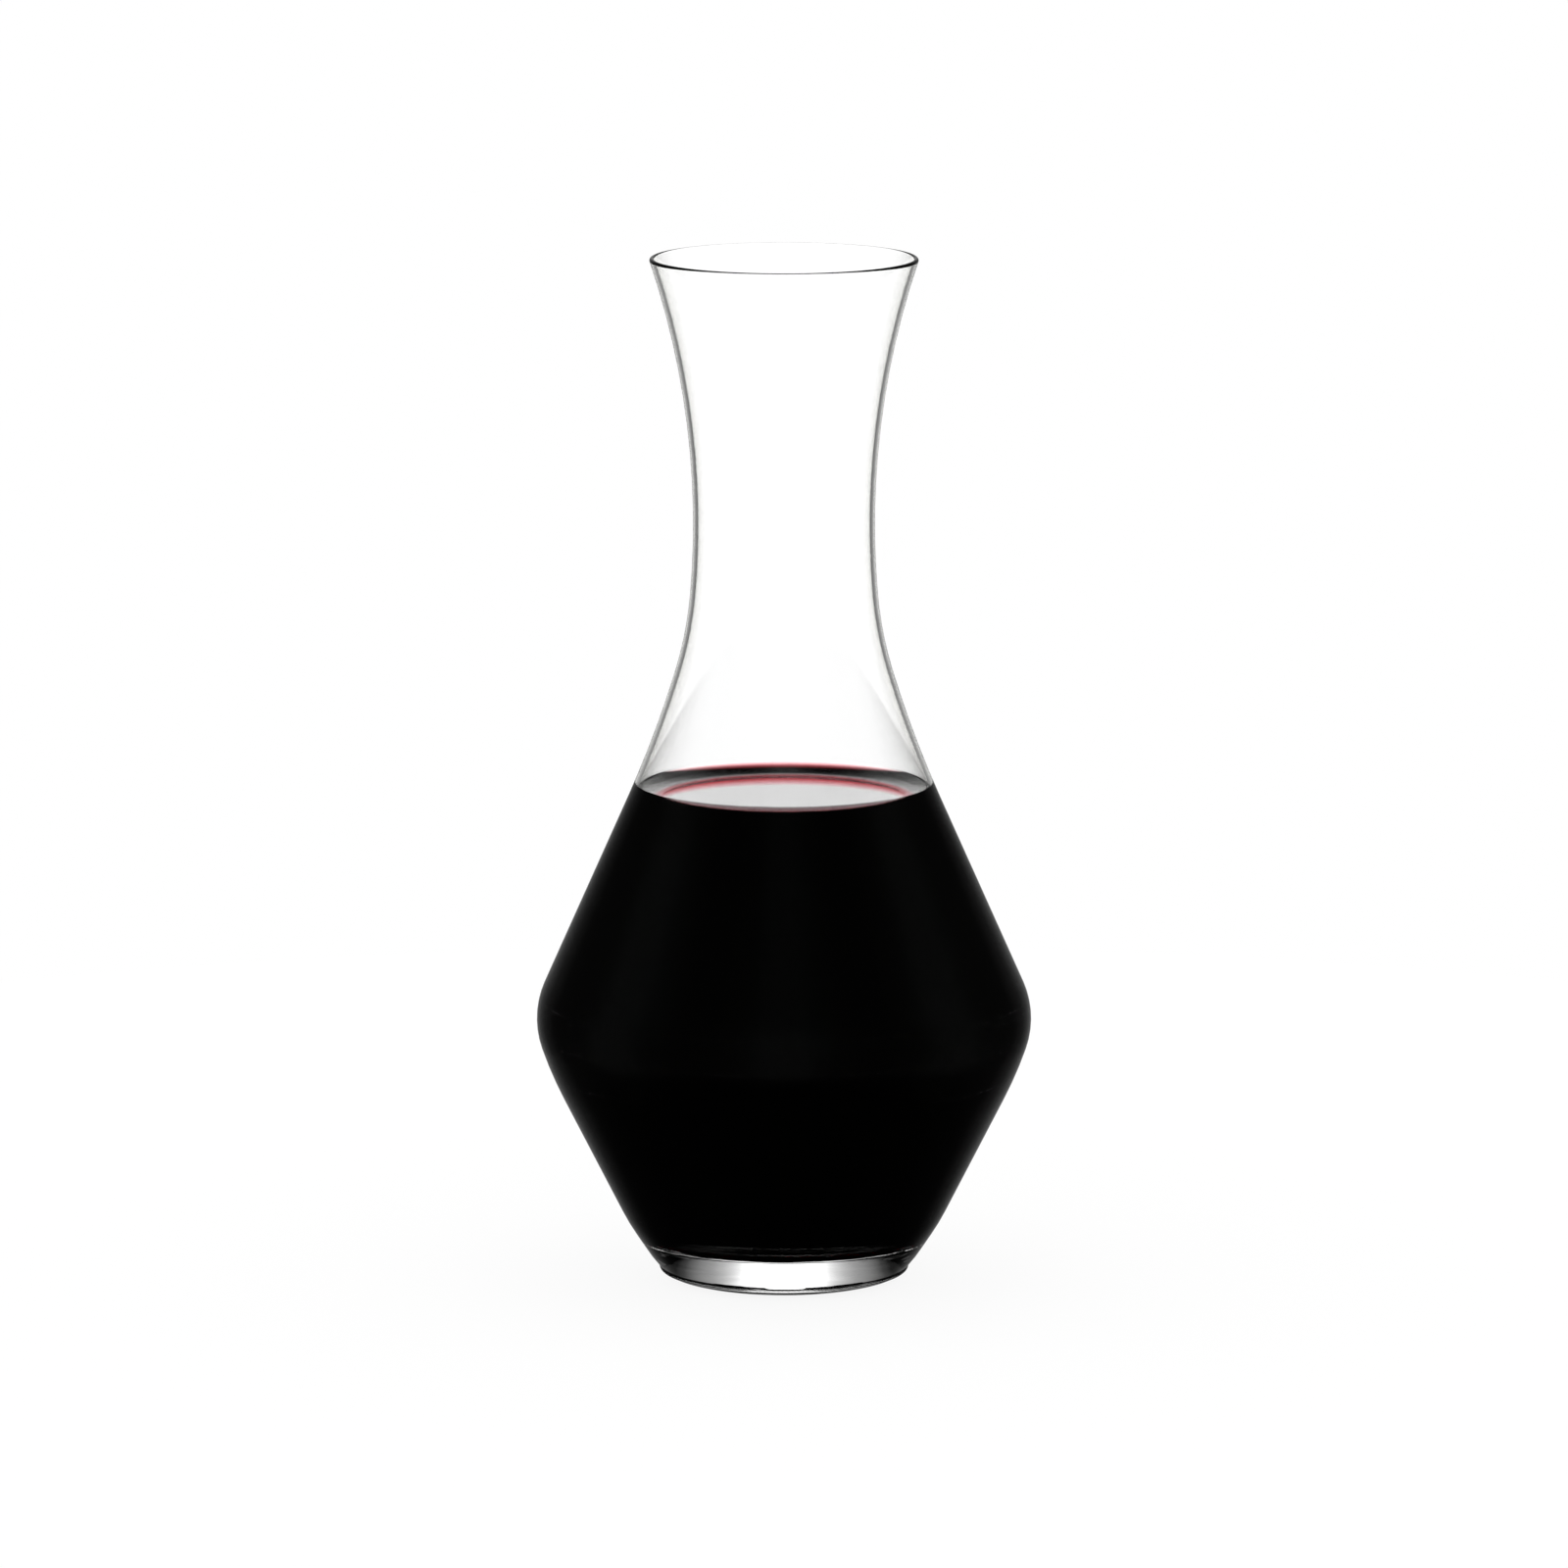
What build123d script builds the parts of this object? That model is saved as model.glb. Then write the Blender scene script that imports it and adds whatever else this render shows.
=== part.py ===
from build123d import *
import os
from math import acos, asin, atan2, cos, degrees, radians, sin, tan

# A wine decanter with wine in it: one blown crystal body and the wine standing inside.
# Millimetres, +Z up. Both pieces are round about the Z axis, and z = 0 is the table.
# A wall's lean is its angle from upright, positive where it closes in upwards.

os.makedirs("parts", exist_ok=True)

# Driving dimensions: the neck and the mouth
height = 250.0  # table to the top of the rim
wall = 1.2  # blown wall, the same from the rim to the foot
waist_radius = 21.95  # outside of the neck at its narrowest
waist_height = 185.5
flare_curve = 200.0  # long hollow curve from the mouth to just below the waist
neck_lean = 4.9  # wall's lean where the neck curve takes over
neck_curve = 91.4
shoulder_lean = 16.7  # wall's lean where the slacker shoulder curve takes over
shoulder_wall = 50.3  # straight wall between the shoulder curve and the belly's

# Driving dimensions: the bowl
belly_radius = 60.1  # outside of the bowl at its widest
belly_height = 64.15
belly_curve = 20.8  # tight curve round the belly
bowl_lean = 18.9  # how far the wall leans in below the belly where the bowl curve starts
bowl_curve = 95.5  # flatter curve below the belly

# Driving dimensions: the foot
foot_radius = 30.2
foot_lean = 44.0  # how far the wall leans in where it meets the foot
foot_curve = 54.6  # curve that draws the bowl in to the foot
foot_edge = 0.25  # upright band round the foot
heel_curve = 1.2  # small round under that band
heel_turn = 59.7  # how far the small round turns under
ring_radius = 19.8  # outside of the flat ring that stands on the table
ring_width = 2.5
punt_depth = 2.0  # hollow under the base, inside the ring

# Driving dimensions: the cavity's floor and the wine
base_thickness = 11.2  # table to the cavity's floor
floor_curve = 12.0  # round between the cavity's floor and its wall
wine_level = 118.6  # flat middle of the wine's surface
meniscus_foot_curve = 7.5  # slack curve where the surface starts to climb the wall
meniscus_foot_turn = 32.0  # surface's slope where the tighter curve takes over
meniscus_lip_curve = 2.65
meniscus_slope = 88.0  # surface's slope where it meets the wall


def toward(angle):
    """The direction at this angle, in degrees from the radius outwards."""
    return Vector(cos(radians(angle)), sin(radians(angle)))


# Centres of the outside curves, as (radius, height), from the mouth down
flare_centre = Vector(waist_radius + flare_curve, waist_height)
neck_centre = flare_centre + toward(180 + neck_lean) * (flare_curve - neck_curve)
belly_centre = Vector(belly_radius - belly_curve, belly_height)
bowl_centre = belly_centre + toward(-bowl_lean) * (belly_curve - bowl_curve)

# The shoulder curve joins the neck curve's end to the straight wall above the belly. Both of its ends are
# as far from the corner where their tangents cross, and the straight wall touches the belly's circle.
neck_end = neck_centre + toward(180 + shoulder_lean) * neck_curve
neck_slope = toward(shoulder_lean - 90)
rise = neck_end - belly_centre
tangent_excess = belly_curve**2 + shoulder_wall**2 - rise.dot(rise)
corner_reach = tangent_excess / (2 * (rise.dot(neck_slope) - shoulder_wall))
corner = neck_end + neck_slope * corner_reach - belly_centre
cone_lean = degrees(atan2(corner.Y, corner.X) - acos(belly_curve / corner.length))
shoulder_curve = corner_reach / tan(radians(cone_lean - shoulder_lean) / 2)
shoulder_centre = neck_centre + toward(180 + shoulder_lean) * (neck_curve - shoulder_curve)

# The sole's slack curve runs from the small round to the standing ring and meets the table flat
sole_span = foot_radius - heel_curve * (1 - cos(radians(heel_turn))) - ring_radius
sole_curve = sole_span / cos(radians(heel_turn))
heel_height = heel_curve * sin(radians(heel_turn)) + sole_curve * (1 - sin(radians(heel_turn)))
foot_corner = Vector(foot_radius, heel_height + foot_edge)
foot_centre = foot_corner - toward(-foot_lean) * foot_curve

# The lower bowl's straight wall touches the bowl curve and the foot curve
bowl_to_foot = foot_centre - bowl_centre
lower_turn = atan2(bowl_to_foot.Y, bowl_to_foot.X) + acos((bowl_curve - foot_curve) / bowl_to_foot.length)
lower_lean = -degrees(lower_turn)

# The wine's surface climbs the wall over two curves: where it meets the wall, and how far out it starts
turn_end = toward(meniscus_foot_turn)
meniscus_end = toward(meniscus_slope)
meniscus_rise = meniscus_foot_curve * (1 - turn_end.X) + meniscus_lip_curve * (turn_end.X - meniscus_end.X)
meniscus_width = meniscus_foot_curve * turn_end.Y + meniscus_lip_curve * (meniscus_end.Y - turn_end.Y)
contact_height = wine_level + meniscus_rise

# The flare stops under the rounded rim, which reaches the full height
lip_lean = degrees(asin((height - wall / 2 - waist_height) / (flare_curve + wall / 2)))
rim_centre = flare_centre + toward(180 - lip_lean) * (flare_curve + wall / 2)


def draw_wall(inset):
    """Draws the body's line from the rim to the lower bowl, this far inside the outer surface."""
    CenterArc(flare_centre, flare_curve + inset, 180 - lip_lean, lip_lean + neck_lean)
    CenterArc(neck_centre, neck_curve + inset, 180 + neck_lean, shoulder_lean - neck_lean)
    shoulder_turn = cone_lean - shoulder_lean
    shoulder = CenterArc(shoulder_centre, shoulder_curve + inset, 180 + shoulder_lean, shoulder_turn)
    belly = CenterArc(belly_centre, belly_curve - inset, cone_lean, -cone_lean - bowl_lean)
    Line(shoulder @ 1, belly @ 0)
    return CenterArc(bowl_centre, bowl_curve - inset, -bowl_lean, bowl_lean - lower_lean)


def draw_cavity():
    """Draws the cavity's line from the rim to the middle of its floor."""
    bowl = draw_wall(wall)
    wall_normal = toward(-lower_lean)
    floor_centre_height = base_thickness + floor_curve
    wall_reach = wall_normal.dot(bowl @ 1) - floor_curve
    floor_centre_radius = (wall_reach - wall_normal.Y * floor_centre_height) / wall_normal.X
    corner = CenterArc((floor_centre_radius, floor_centre_height), floor_curve, -lower_lean, lower_lean - 90)
    Line(bowl @ 1, corner @ 0)
    Line(corner @ 1, (0, base_thickness))


# Glass body: neck, bowl and thick base, blown in one piece, with a fire-polished rim
with BuildPart() as glass_body:
    with BuildSketch(Plane.XZ):
        with BuildLine():
            draw_cavity()
            CenterArc(rim_centre, wall / 2, -lip_lean, 180)
            bowl = draw_wall(0)
            foot = CenterArc(foot_centre, foot_curve, -lower_lean, lower_lean - foot_lean)
            Line(bowl @ 1, foot @ 0)
            sole = JernArc((ring_radius, 0), (1, 0), sole_curve, 90 - heel_turn)
            heel = JernArc(sole @ 1, sole % 1, heel_curve, heel_turn)
            Line(heel @ 1, foot_corner)
            ring = Line((ring_radius, 0), (ring_radius - ring_width, 0))
            TangentArc((0, punt_depth), ring @ 1, tangent=(1, 0))
            Line((0, punt_depth), (0, base_thickness))
        make_face()
    revolve(axis=Axis.Z)
glass_body.part.label = "glass_body"
export_step(glass_body.part, "parts/glass_body.step")

# Red wine: it fills the cavity up to its level and climbs the wall all round
with BuildPart() as red_wine:
    with BuildSketch(Plane.XZ):
        with BuildLine():
            draw_cavity()
            rim_inside = rim_centre + toward(180 - lip_lean) * (wall / 2)
            Polyline(rim_inside, (0, rim_inside.Y), (0, base_thickness))
        make_face()
    revolve(axis=Axis.Z)
    split(bisect_by=Plane.XY.offset(contact_height), keep=Keep.BOTTOM)
    contact_radius = red_wine.vertices().sort_by(Axis.Z)[-1].X
    with BuildSketch(Plane.XZ):
        with BuildLine():
            flat = Line((0, wine_level), (contact_radius - meniscus_width, wine_level))
            meniscus_foot = JernArc(flat @ 1, (1, 0), meniscus_foot_curve, meniscus_foot_turn)
            meniscus_lip_turn = meniscus_slope - meniscus_foot_turn
            lip = JernArc(meniscus_foot @ 1, meniscus_foot % 1, meniscus_lip_curve, meniscus_lip_turn)
            Polyline(lip @ 1, (0, contact_height), flat @ 0)
        make_face()
    revolve(axis=Axis.Z, mode=Mode.SUBTRACT)
red_wine.part.label = "red_wine"
export_step(red_wine.part, "parts/red_wine.step")
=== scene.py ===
# %% [markdown]
# # A wine decanter in clear crystal, with red wine in it
# The real object is one hand-finished piece of lead-free crystal: a flared neck, a wide belly and a
# thick solid foot, turned round one axis. The red wine inside is the second piece. Both come from
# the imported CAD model, so their places are already right, and Blender is here for smoother turned
# surfaces and for the light in the glass.

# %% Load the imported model
from math import cos, pi, radians, sin

import bpy
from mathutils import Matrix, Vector


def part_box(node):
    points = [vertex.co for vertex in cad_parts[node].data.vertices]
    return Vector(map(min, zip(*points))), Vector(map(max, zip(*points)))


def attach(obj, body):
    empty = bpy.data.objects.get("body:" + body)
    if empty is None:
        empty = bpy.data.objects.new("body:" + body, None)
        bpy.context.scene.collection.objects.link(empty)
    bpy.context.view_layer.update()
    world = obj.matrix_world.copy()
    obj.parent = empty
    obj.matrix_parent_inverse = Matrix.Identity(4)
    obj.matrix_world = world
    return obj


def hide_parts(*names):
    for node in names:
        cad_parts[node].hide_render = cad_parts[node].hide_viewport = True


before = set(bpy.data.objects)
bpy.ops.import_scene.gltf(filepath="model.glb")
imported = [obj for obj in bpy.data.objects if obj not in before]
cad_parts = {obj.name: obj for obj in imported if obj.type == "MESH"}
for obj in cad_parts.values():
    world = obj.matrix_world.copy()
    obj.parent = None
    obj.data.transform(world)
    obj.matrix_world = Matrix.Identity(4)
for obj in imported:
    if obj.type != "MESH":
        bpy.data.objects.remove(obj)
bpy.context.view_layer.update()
MM = 0.001  # metres
scene = bpy.context.scene
scene.view_settings.view_transform = "Standard"

# %% [markdown]
# ## Camera
# A product picture of a decanter is taken with a long lens from two or three metres away, so that the
# mouth and the wine's surface are thin ellipses. The ellipse of the foot is more open than that of the
# mouth, and the difference says how near the camera is: about 2.7 m, looking down by 9.5 degrees.

# %% Camera
LENS = 252.64  # mm, on a sensor 36 mm wide
DISTANCE = 2.667  # metres from the axis
LOOK_DOWN = radians(9.468)
AIM_HEIGHT = 0.1217  # the height that lands in the middle of the frame

camera = bpy.data.objects.new("camera", bpy.data.cameras.new("camera"))
scene.collection.objects.link(camera)
scene.camera = camera
camera.data.sensor_width = 36
camera.data.lens = LENS
camera.data.clip_end = 100
camera.location = Vector((0, 0, AIM_HEIGHT)) + DISTANCE * Vector((0, -cos(LOOK_DOWN), sin(LOOK_DOWN)))
camera.rotation_euler = (pi / 2 - LOOK_DOWN, 0, 0)
print("camera at", [round(c, 3) for c in camera.location])

# %% [markdown]
# ## Selecting by place
# Operators act on what is selected, so every step starts from nothing selected. Vertices and faces
# are then picked by where they are or which way they face, as one would by eye.


# %% Helpers for selecting
def deselect():
    if bpy.context.object and bpy.context.object.mode != "OBJECT":
        bpy.ops.object.mode_set(mode="OBJECT")
    bpy.ops.object.select_all(action="DESELECT")


def edit(piece, pick="VERT", everything=True):
    deselect()
    piece.select_set(True)
    bpy.context.view_layer.objects.active = piece
    bpy.ops.object.mode_set(mode="EDIT")
    bpy.ops.mesh.select_mode(type=pick)
    bpy.ops.mesh.select_all(action="SELECT" if everything else "DESELECT")


def select_points(piece, wanted):
    edit(piece, "VERT", everything=False)
    bpy.ops.object.mode_set(mode="OBJECT")
    for v in piece.data.vertices:
        v.select = wanted(v.co)
    bpy.ops.object.mode_set(mode="EDIT")
    bpy.ops.mesh.select_mode(type="VERT")


def select_faces(piece, wanted):
    edit(piece, "FACE", everything=False)
    bpy.ops.object.mode_set(mode="OBJECT")
    for f in piece.data.polygons:
        f.select = wanted(f)
    bpy.ops.object.mode_set(mode="EDIT")
    bpy.ops.mesh.select_mode(type="FACE")


# %% [markdown]
# ## Turning a piece from its own section
# Everything here is round, as a glassblower's bench and a steel mould make it. A CAD mesh is cut into
# long flat triangles, which glass shows as facets, because it bends light twice at each wall. So the
# solid is sliced along its axis, one half of the slice is kept as a profile, and the profile is spun
# in many fine steps. Its points are the CAD's own, apart from the heel, which comes next.

# %% Find where a section ends
TURNS = 256  # steps round the axis: each is 1.5 mm at the belly
WELD = 0.002 * MM


def open_ends(piece):
    uses = {}
    for e in piece.data.edges:
        for i in e.vertices:
            uses[i] = uses.get(i, 0) + 1
    return [piece.data.vertices[i].co.copy() for i, n in uses.items() if n == 1]


# %% [markdown]
# ## The heel of the foot
# The lower edge of the foot is rounded, and the glass stands on a ring with a hollow inside it. The CAD
# section has this heel slightly too high and too narrow, so it is let down and out here, with a soft
# falloff that the curve above follows. The hollow is made shallow too. How deep a real one is can't be
# seen from the side, so that depth is a guess. Both are moved in the section, before the spin, which
# gives every step round the axis the same heel.

# %% Settle the heel of the foot
HEEL_OUT, HEEL_DOWN = 0.2 * MM, 0.6 * MM
HEEL_REACH = 9.0 * MM  # how far up the foot the pull is felt
HEEL_RADIUS, HEEL_TOP = 29 * MM, 3.95 * MM  # the heel's points are outside and below these
HOLLOW_RADIUS, HOLLOW_TOP = 18 * MM, 2.1 * MM  # the hollow's points are inside and below these
HOLLOW_LEFT = 0.2  # part of the hollow's depth that stays


def settle_foot(piece):
    select_points(piece, lambda p: p.x > HEEL_RADIUS and p.z < HEEL_TOP)
    bpy.ops.transform.translate(
        value=(HEEL_OUT, 0, -HEEL_DOWN), use_proportional_edit=True, use_proportional_connected=True,
        proportional_edit_falloff="SMOOTH", proportional_size=HEEL_REACH,
    )
    select_points(piece, lambda p: p.z < HOLLOW_TOP and p.x < HOLLOW_RADIUS)
    bpy.ops.transform.resize(value=(1, 1, HOLLOW_LEFT), center_override=(0, 0, 0))
    bpy.ops.object.mode_set(mode="OBJECT")
    print("heel lowered by", round(HEEL_DOWN / MM, 2), "mm and out by", round(HEEL_OUT / MM, 2), "mm")


# %% Spin a section
def turned(node, name):
    piece = bpy.data.objects.new(name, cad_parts[node].data.copy())
    piece.data.materials.clear()
    scene.collection.objects.link(piece)
    edit(piece)
    bpy.ops.mesh.customdata_custom_splitnormals_clear()
    bpy.ops.mesh.remove_doubles(threshold=0.001 * MM)
    bpy.ops.mesh.select_all(action="SELECT")
    bpy.ops.mesh.bisect(
        plane_co=(0, 0, 0), plane_no=(0, 1, 0), clear_inner=True, clear_outer=True, threshold=1e-7
    )
    select_points(piece, lambda p: p.x < -0.001 * MM)
    bpy.ops.mesh.delete(type="VERT")
    bpy.ops.object.mode_set(mode="OBJECT")
    for end in open_ends(piece):
        if end.x > 0.001 * MM:  # carry the profile on to the axis
            select_points(piece, lambda p: (p - end).length < 1e-7)
            bpy.ops.mesh.extrude_vertices_move(TRANSFORM_OT_translate={"value": (-end.x, 0, 0)})
            bpy.ops.object.mode_set(mode="OBJECT")
    if node == "glass_body":
        settle_foot(piece)
    profile_points = len(piece.data.vertices)
    edit(piece)
    bpy.ops.mesh.spin(steps=TURNS, angle=2 * pi, center=(0, 0, 0), axis=(0, 0, 1))
    bpy.ops.mesh.select_all(action="SELECT")
    bpy.ops.mesh.remove_doubles(threshold=WELD)
    bpy.ops.mesh.select_all(action="SELECT")
    bpy.ops.mesh.normals_make_consistent(inside=False)
    bpy.ops.object.mode_set(mode="OBJECT")
    print(name, "has", profile_points, "points in its profile and", len(piece.data.polygons), "faces")
    return piece


glass = turned("glass_body", "glass_decanter")
wine = turned("red_wine", "wine_fill")

# %% [markdown]
# ## Where wine wets the glass
# Wine fills the glass with no air between them, so light bends far less there than at a dry wall:
# the index changes from 1.52 to 1.345 only. Two meshes in the same place would confuse the light, so
# the wall itself carries this change, on its inner faces up to the line where the wine ends. The glass
# is cut round at that height first, to end the wetted part in a clean line.

# %% Cut the glass at the wine's line and pick its wetted faces
wine_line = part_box("red_wine")[1].z
wine_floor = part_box("red_wine")[0].z
edit(glass)
bpy.ops.mesh.bisect(plane_co=(0, 0, wine_line), plane_no=(0, 0, 1), threshold=1e-7)
bpy.ops.object.mode_set(mode="OBJECT")


def outward(face):
    away = Vector((face.center.x, face.center.y, 0))
    return face.normal.dot(away.normalized()) if away.length > 1e-6 else 0.0


def is_wetted(face):
    return wine_floor - WELD < face.center.z < wine_line and outward(face) < 0.01


# %% [markdown]
# ## The wine's open surface
# Wine climbs the wall by 3 mm in a thin curved edge, the meniscus, which the CAD section has. Its flat
# top and that edge meet the air, and its sides and floor meet the glass. The two act on light in
# different ways, so the open faces carry the value 1 in an attribute, which the material reads. The
# wine is shrunk by a few hundredths of a millimetre, to lie inside the glass without touching it.

# %% Mark the open surface and free the wine from the wall
OPEN_SURFACE = "open_surface"
edit(wine)
bpy.ops.transform.resize(value=(0.9996,) * 3, center_override=(0, 0, (wine_line + wine_floor) / 2))
bpy.ops.object.mode_set(mode="OBJECT")
marks = wine.data.attributes.new(OPEN_SURFACE, "FLOAT", "FACE")
for f in wine.data.polygons:
    marks.data[f.index].value = float(f.normal.z > 0.02 and outward(f) < 0.3)
print("open faces", sum(m.value > 0.5 for m in marks.data), "of", len(marks.data))


# %% Smooth the curves
def smooth(piece):
    deselect()
    piece.select_set(True)
    bpy.context.view_layer.objects.active = piece
    bpy.ops.object.shade_smooth_by_angle(angle=radians(30))
    weights = piece.modifiers.new("weights", "WEIGHTED_NORMAL")
    weights.mode = "FACE_AREA_WITH_ANGLE"
    weights.weight = 90
    weights.keep_sharp = True
    bpy.ops.object.modifier_apply(modifier=weights.name)


for piece in (glass, wine):
    smooth(piece)

# %% [markdown]
# ## Building materials
# Colours are written as the hex values a paint program shows, and one function turns them into the
# linear values that light uses. A second function adds one node with its settings and its links.


# %% Colour and node helpers
def linear(hex_colour):
    parts = [int(hex_colour[i:i + 2], 16) / 255 for i in (1, 3, 5)]
    return tuple(c / 12.92 if c <= 0.04045 else ((c + 0.055) / 1.055) ** 2.4 for c in parts) + (1.0,)


def add(tree, kind, inputs=None, **settings):
    node = tree.nodes.new("ShaderNode" + kind)
    for key, value in settings.items():
        setattr(node, key, value)
    for key, value in (inputs or {}).items():
        if isinstance(value, bpy.types.NodeSocket):
            tree.links.new(value, node.inputs[key])
        else:
            node.inputs[key].default_value = value
    return node


def new_material(name):
    material = bpy.data.materials.new(name)
    material.use_nodes = True
    material.node_tree.nodes.clear()
    return material, material.node_tree


def set_stops(ramp, stops):
    points = ramp.color_ramp.elements
    while len(points) > 1:
        points.remove(points[-1])
    for i, (place, colour) in enumerate(stops):
        stop = points[0] if i == 0 else points.new(place)
        stop.position = place
        stop.color = colour if len(colour) == 4 else (*colour, 1.0)


# %% [markdown]
# ## Crystal
# Lead-free crystal is clear, bends light a little more than window glass (index 1.52) and is
# fire-polished, so its roughness is nothing. What is left to see is its edge: a wall seen side on is
# long, and it turns darker where it faces away: partly its grey-green body colour, partly painted shade
# for the dark lines that bent light gives at an edge. A hand-finished wall is also very slightly
# uneven over about 30 mm, which makes the lines in it waver. A polished foot is nearly as even, but its
# wavering light would not show, so it is drawn much coarser there than it is. The wetted glass has a dark
# red painted shade low down. That is no real coating: it hides a thin bright line above the foot.

# %% Crystal materials
GLASS_INDEX = 1.52
WINE_INDEX = 1.345
DRIFT_SIZE, RIPPLE_SIZE = 30 * MM, 11 * MM  # sizes of the slow and the quick unevenness
UNEVEN_DEPTH = 0.02 * MM  # of the slow one, and the quick one is stronger by the next number
FOOT_COARSER = 22.0  # many times more than real, for the wavering light in the foot to show
FOOT_FADE = 2 * MM  # height over which the coarse part fades out
LOW_SHADE_RISE = 8 * MM  # height over which the low painted shade clears
DRY_FOOT_TOP, WET_FLOOR_TOP = 1.5 * MM, 12 * MM


def crystal(name, index, tones_and_shade, uneven_below, by_height=False):
    material, tree = new_material(name)
    place = add(tree, "TexCoord").outputs["Object"]
    height_up = add(tree, "SeparateXYZ", {0: place}).outputs["Z"]
    rise = add(tree, "MapRange", {0: height_up, 1: uneven_below, 2: uneven_below + LOW_SHADE_RISE}).outputs[0]
    facing = add(tree, "LayerWeight", {"Blend": 0.5}).outputs["Facing"]
    # base colour ramp, painted shade: by facing on the dry glass, partly its grey-green body colour there, and
    # by height low on the wetted wall
    tone_and_shade = add(tree, "ValToRGB", {0: rise if by_height else facing})
    set_stops(tone_and_shade, tones_and_shade)
    drift = add(tree, "TexNoise", {"Vector": place, "Scale": 1 / DRIFT_SIZE, "Detail": 1.0})
    ripple = add(tree, "TexNoise", {"Vector": place, "Scale": 1 / RIPPLE_SIZE, "Detail": 1.0})
    near_foot = add(tree, "MapRange", {
        0: height_up, 1: uneven_below, 2: uneven_below + FOOT_FADE, 3: 1.0, 4: 0.0,
    })
    coarse = add(tree, "Math", {0: ripple.outputs[0], 1: near_foot.outputs[0]}, operation="MULTIPLY")
    both = add(tree, "Math", {
        0: coarse.outputs[0], 1: FOOT_COARSER, 2: drift.outputs[0],
    }, operation="MULTIPLY_ADD")
    height = add(tree, "Bump", {"Height": both.outputs[0], "Strength": 1.0, "Distance": UNEVEN_DEPTH})
    shader = add(tree, "BsdfPrincipled", {
        "Base Color": tone_and_shade.outputs[0], "Roughness": 0.0, "IOR": index,
        "Transmission Weight": 1.0, "Normal": height.outputs[0],
    })
    add(tree, "OutputMaterial", {"Surface": shader.outputs[0]})
    return material


clear = linear("#ffffff")
# painted shade: the wetted wall is drawn dark red low down, clearing upwards, to hide a thin bright line above
# the foot
LOW_PAINTED_SHADE = [(0.0, linear("#3a2224")), (0.5, linear("#8a7274")), (1.0, clear)]
# partly the glass's grey-green body colour, partly painted shade: darker where the wall faces away, for the
# dark edge lines of bent light
EDGE_COLOUR_AND_SHADE = [
    (0.0, clear), (0.4, clear), (0.6, linear("#f9f9f8")), (0.8, linear("#ededea")), (1.0, linear("#cbcbc4")),
]
dry_crystal = crystal("fire_polished_crystal", GLASS_INDEX, EDGE_COLOUR_AND_SHADE, DRY_FOOT_TOP)
wetted_crystal = crystal(
    "crystal_wetted_by_wine", GLASS_INDEX / WINE_INDEX, LOW_PAINTED_SHADE, WET_FLOOR_TOP, by_height=True
)

glass.data.materials.append(dry_crystal)
glass.data.materials.append(wetted_crystal)
select_faces(glass, is_wetted)
glass.active_material_index = 1
bpy.ops.object.material_slot_assign()
bpy.ops.object.mode_set(mode="OBJECT")
print("wetted faces", sum(f.material_index == 1 for f in glass.data.polygons), "of", len(glass.data.polygons))

# %% [markdown]
# ## Red wine
# Wine is water and alcohol with grape colour in it, and light gets weaker in it the further it goes:
# red reaches a few millimetres and the other colours hardly one. So the body looks black and only the
# thin edge at the wall is red. That is an absorbing volume. Its open surface bends and mirrors light
# with index 1.345, and its sides let it through unbent, because the wetted glass has bent it already.

# %% Wine material
WINE_REACH = {"red": 1 / 260, "green": 1 / 1300, "blue": 1 / 1200}  # metres to fall to 37%


def red_wine():
    material, tree = new_material("red_wine")
    strengths = [1 / WINE_REACH[c] for c in ("red", "green", "blue")]
    most = max(strengths)
    left_over = (*[1 - s / most for s in strengths], 1.0)
    body = add(tree, "VolumeAbsorption", {"Color": left_over, "Density": most})
    is_open = add(tree, "Attribute", attribute_name=OPEN_SURFACE)
    index = add(tree, "MapRange", {0: is_open.outputs["Fac"], 3: 1.0, 4: WINE_INDEX})
    shader = add(tree, "BsdfPrincipled", {
        "Base Color": clear, "Roughness": 0.0, "IOR": index.outputs[0], "Transmission Weight": 1.0,
    })
    shader.inputs["IOR"].default_value = WINE_INDEX
    add(tree, "OutputMaterial", {"Surface": shader.outputs[0], "Volume": body.outputs[0]})
    return material


wine.data.materials.append(red_wine())
print("red reaches", round(WINE_REACH["red"] / MM, 2), "mm in the wine")

# %% Say what each piece is to the frame
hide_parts("glass_body")
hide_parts("red_wine")
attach(glass, "root")
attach(wine, "root")

# %% [markdown]
# ## Light for glass
# Glass has no colour of its own to light: it shows what is round it. A picture of glass is made with
# soft white panels and black cards between them, so that a wall turns dark where it bends the view
# from a panel to a card. The room is kept white for everything that is lit or seen directly. For the
# rays that glass and wine bend or mirror, it has a bright panel behind the decanter and fainter ones at
# its front and sides, black between, above and below. How often a ray has been bent or mirrored says
# which part of the decanter it comes from. The outer skin mirrors a dim sheen, which softens the belly's
# dark outline. The inner skin and the thick foot show the panels. Light through the thin edge of the wine
# comes from four equal panels, and light straight through the empty neck is one even white. No real room
# can treat these differently, so this is a studio that only a renderer can build.

# %% World
# Each table is a list of (degrees, brightness), by bearing from the panel or by height over the horizon
PANEL = [
    (0, 1.8), (10, 1.6), (14, 0.97), (16, 0.75), (19, 0.54),
    (23, 0.37), (28, 0.27), (33, 0.16), (38, 0.06), (45, 0.01),
]
FILM_HEIGHT = [  # for light that comes through the wine's thin edge
    (-90, 0), (-46, 0.02), (-36, 0.28), (-29, 0.85), (-24, 1), (-15, 1), (-10, 0.2), (0, 0.05), (90, 0),
]
# The dim panel that the outer skin mirrors
SHEEN = [(0, 0.36), (6, 0.24), (12, 0.15), (18, 0.11), (24, 0.07), (32, 0.03), (45, 0.01)]
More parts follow.
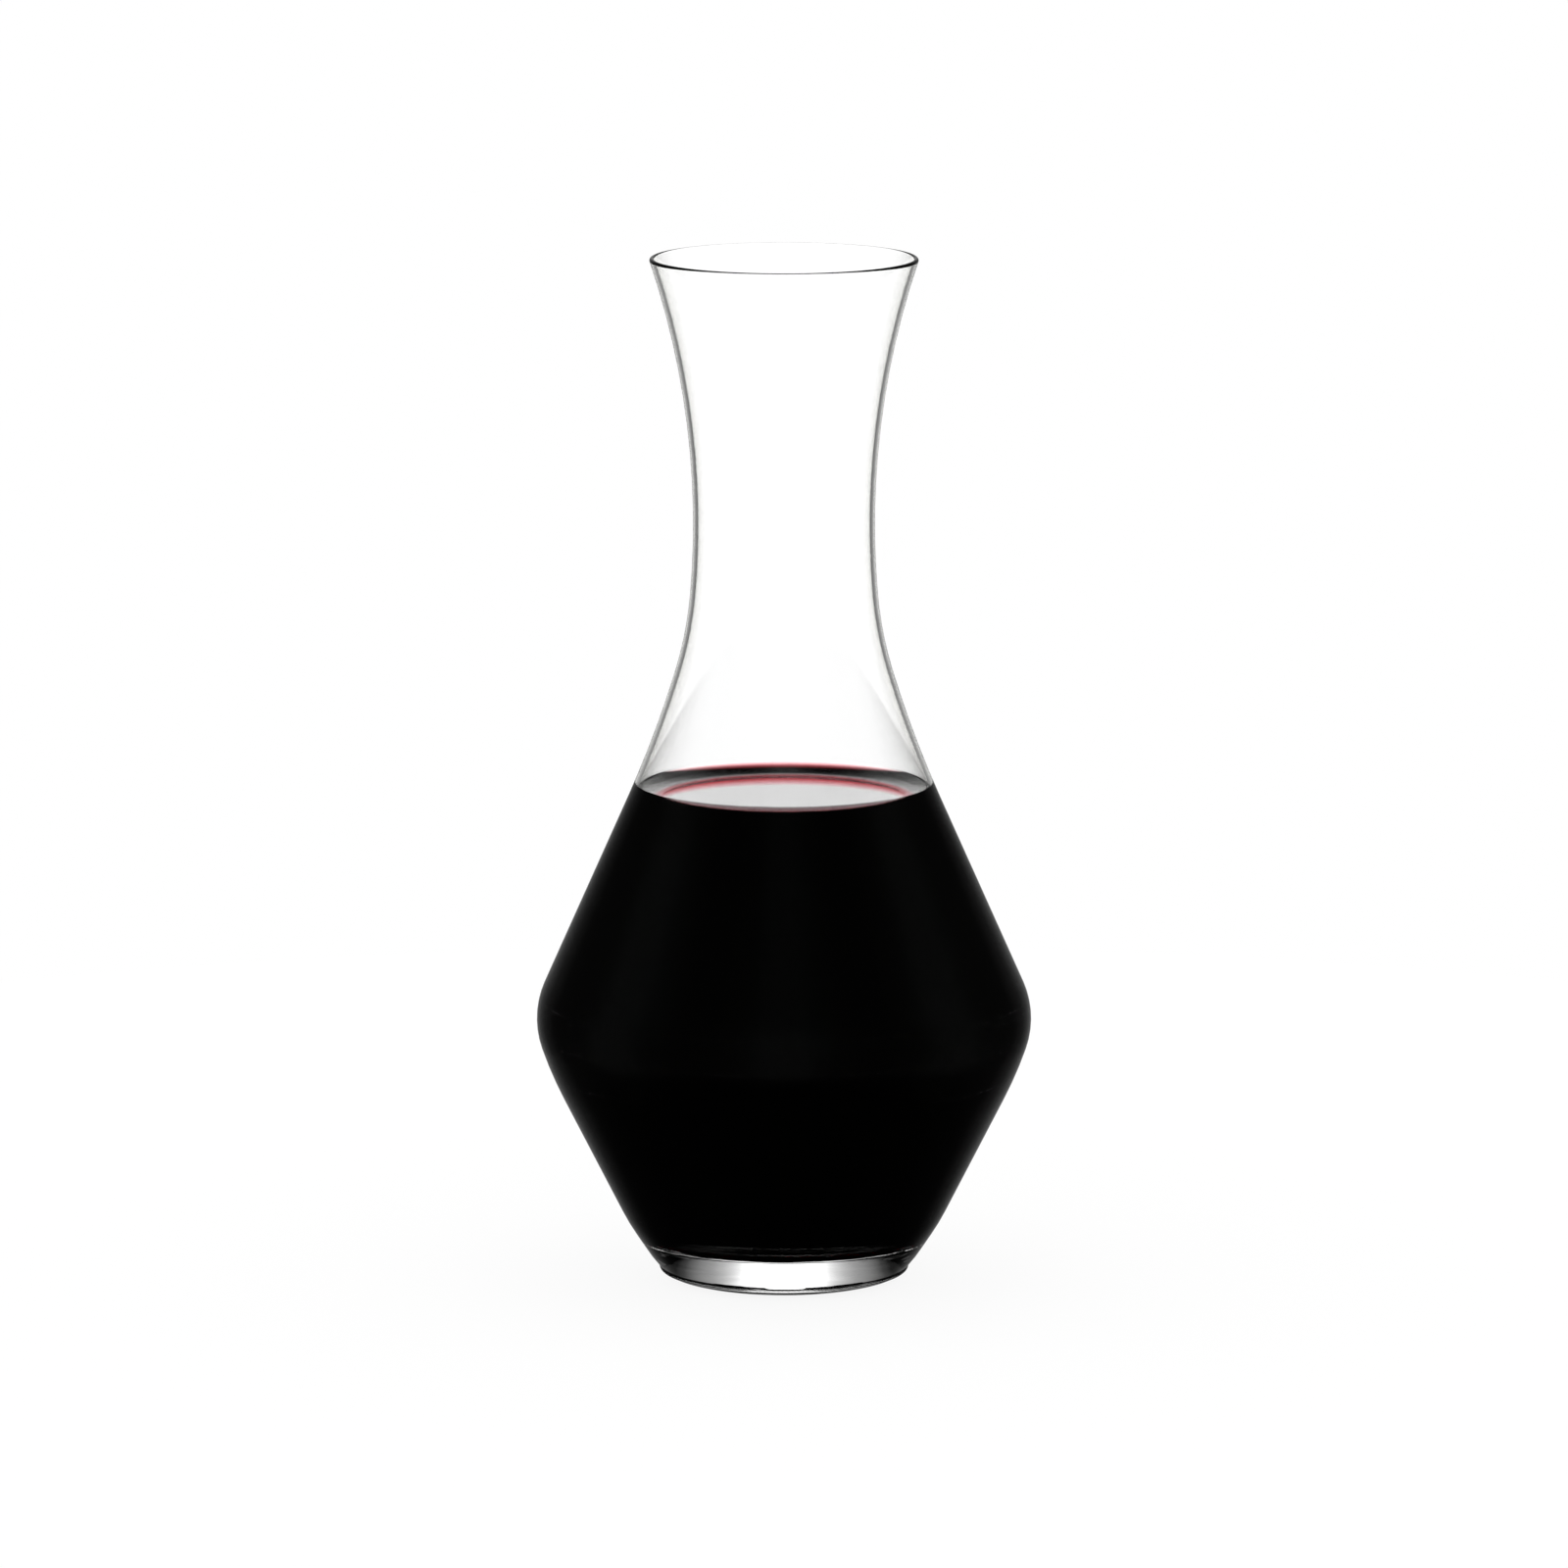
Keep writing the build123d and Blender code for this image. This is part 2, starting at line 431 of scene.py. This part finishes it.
# What the neck's inside and the wine's surface mirror: bright almost all the way round
REACH_ROUND = [(0, 2.2), (45, 2.2), (85, 0.8), (180, 0.7)]
PANEL_HEIGHT = [
    (-90, 0), (-46, 0.02), (-36, 0.28), (-29, 0.85), (-24, 1), (30, 1), (45, 0.2), (60, 0), (90, 0),
]
PANEL_TOP, REACH_TOP = 2.0, 2.2  # brightness that white stands for in those two tables
DARK_INSIDE, DARK_OUTSIDE, DARK_RED = 0.01, 0.004, 0.003  # what is left where no panel is seen
CLEAR_NECK = 1.19  # light straight through the empty glass, which loses a sixth at its surfaces
SIDE_PANELS = 0.26  # how bright the panels at the front and the sides are, against the one at the back
ONE_BEND, THREE_BENDS, FIVE_BENDS = 0.5, 2.5, 4.5  # a count of bends over these is at least one, three, five

world = bpy.data.worlds.new("studio")
scene.world = world
world.use_nodes = True
sky = world.node_tree
sky.nodes.clear()


def curve(tree, value, stops, top=1.0):
    """a piecewise straight curve over a range of values, as a colour ramp"""
    low, high = stops[0][0], stops[-1][0]
    part = add(tree, "MapRange", {0: value, 1: low, 2: high})
    ramp = add(tree, "ValToRGB", {0: part.outputs[0]})
    set_stops(ramp, [((x - low) / (high - low), (y / top,) * 3) for x, y in stops])
    return add(tree, "Math", {0: ramp.outputs[0], 1: top}, operation="MULTIPLY").outputs[0]


look = add(sky, "SeparateXYZ", {0: add(sky, "TexCoord").outputs["Generated"]}).outputs
turn = add(sky, "Math", {0: look["X"], 1: look["Y"]}, operation="ARCTAN2")
to_side = add(sky, "Math", {0: turn.outputs[0]}, operation="DEGREES").outputs[0]
bearing = add(sky, "Math", {0: to_side}, operation="ABSOLUTE").outputs[0]
climb = add(sky, "Math", {0: look["Z"]}, operation="ARCSINE")
rise = add(sky, "Math", {0: climb.outputs[0]}, operation="DEGREES").outputs[0]
quarter = add(sky, "Math", {0: bearing, 1: 45.0}, operation="PINGPONG").outputs[0]
band = curve(sky, rise, PANEL_HEIGHT)
behind = add(sky, "Math", {0: curve(sky, bearing, PANEL, PANEL_TOP), 1: band}, operation="MULTIPLY").outputs[0]
all_round = curve(sky, quarter, PANEL, PANEL_TOP)
beside = add(sky, "Math", {0: all_round, 1: band}, operation="MULTIPLY").outputs[0]
beside = add(sky, "Math", {0: beside, 1: SIDE_PANELS}, operation="MULTIPLY").outputs[0]
panels = add(sky, "Math", {0: behind, 1: beside}, operation="MAXIMUM").outputs[0]
around = add(sky, "Math", {0: all_round, 1: curve(sky, rise, FILM_HEIGHT)}, operation="MULTIPLY").outputs[0]
grazed = add(sky, "Math", {0: curve(sky, bearing, SHEEN), 1: band}, operation="MULTIPLY").outputs[0]

path = add(sky, "LightPath").outputs


def is_over(count, threshold):
    return add(sky, "Math", {0: count, 1: threshold}, operation="GREATER_THAN").outputs[0]


bends = path["Transmission Depth"]
reflected = is_over(path["Glossy Depth"], 0.5)
entered = is_over(bends, ONE_BEND)
hollow = is_over(bends, THREE_BENDS)
wet = is_over(bends, FIVE_BENDS)


def choose(factor, if_no, if_yes):
    return add(sky, "Mix", {0: factor, 2: if_no, 3: if_yes}).outputs[0]


inside = add(sky, "Math", {0: panels, 1: DARK_INSIDE}, operation="ADD").outputs[0]
outside = add(sky, "Math", {0: grazed, 1: DARK_OUTSIDE}, operation="ADD").outputs[0]
red_path = add(sky, "Math", {0: around, 1: DARK_RED}, operation="ADD").outputs[0]
reach = curve(sky, bearing, REACH_ROUND, REACH_TOP)
ceiling = add(sky, "Math", {0: band, 1: reach}, operation="MULTIPLY").outputs[0]
mirrored = choose(entered, outside, choose(hollow, inside, ceiling))
through = choose(wet, CLEAR_NECK, red_path)
shown = choose(reflected, through, mirrored)
strength = choose(path["Is Glossy Ray"], 1.0, shown)
background = add(sky, "Background", {"Color": clear, "Strength": strength})
add(sky, "OutputWorld", {"Surface": background.outputs[0]})
print("room made of", len(sky.nodes), "nodes")

# %% [markdown]
# ## The card it stands on
# The decanter stands on plain white card. Most of the card's light is its own glow, which keeps it as
# white as the room, and about an eighth is scattered light, which keeps a faint shadow under the foot.
# Rays that glass and wine bend or mirror pass through the card, because it would fill the foot with
# light from below.

# %% Floor
FLOOR_RADIUS = 0.45  # metres
CARD_GLOW = 1.02
SCATTERED = 0.12  # share of the card's light that can be shaded
deselect()
bpy.ops.mesh.primitive_circle_add(vertices=128, radius=FLOOR_RADIUS, fill_type="NGON", location=(0, 0, 0))
floor = bpy.context.object
floor.name = "floor"
material, tree = new_material("white_card")
diffuse = add(tree, "BsdfDiffuse", {"Color": linear("#f4f4f4")})
glow = add(tree, "Emission", {"Color": clear, "Strength": CARD_GLOW})
seen = add(tree, "MixShader", {0: SCATTERED, 1: glow.outputs[0], 2: diffuse.outputs[0]})
gone = add(tree, "BsdfTransparent")
path = add(tree, "LightPath").outputs
result = add(tree, "MixShader", {0: path["Is Glossy Ray"], 1: seen.outputs[0], 2: gone.outputs[0]})
add(tree, "OutputMaterial", {"Surface": result.outputs[0]})
floor.data.materials.append(material)
print("floor", round(2 * FLOOR_RADIUS, 2), "m across")
